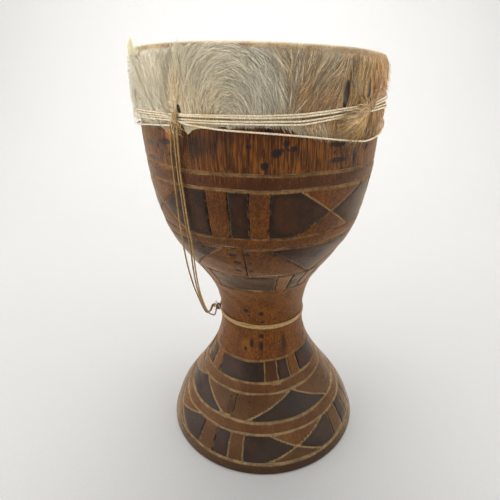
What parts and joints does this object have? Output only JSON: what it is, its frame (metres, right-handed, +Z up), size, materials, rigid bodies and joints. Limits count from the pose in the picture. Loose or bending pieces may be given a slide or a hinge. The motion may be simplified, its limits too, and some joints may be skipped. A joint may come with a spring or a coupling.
{
  "type": "goblet ritual drum",
  "caption": "Hand-carved hollow wooden goblet drum with a hair-on goatskin head bound by twine; stands on its flared foot and is played with the hands.",
  "frame": {"origin": "centre of the foot, on the surface that the drum stands on", "axes": "+Z up along the drum's axis to the skin, -Y towards the front with the binding knot left of it, +X to the right seen from the front"},
  "size_m": [0.2185, 0.2207, 0.38],
  "materials": {
    "carved_wood": "oiled reddish-brown hardwood with dark stained panels and pale tan cut grooves, satin",
    "goatskin": "hair-on hide, cream to golden brown, with a bare tan rawhide edge and playing face",
    "twine": "twisted beige twine, matt"
  },
  "bodies": {
    "root": {"drum_shell": "carved_wood", "goatskin_head": "goatskin", "binding_cord": "twine", "binding_knot": "twine", "waist_cord": "twine", "waist_knot": "twine", "hanging_cord_left": "twine", "hanging_cord_middle": "twine", "hanging_cord_right": "twine"}
  },
  "joints": []
}
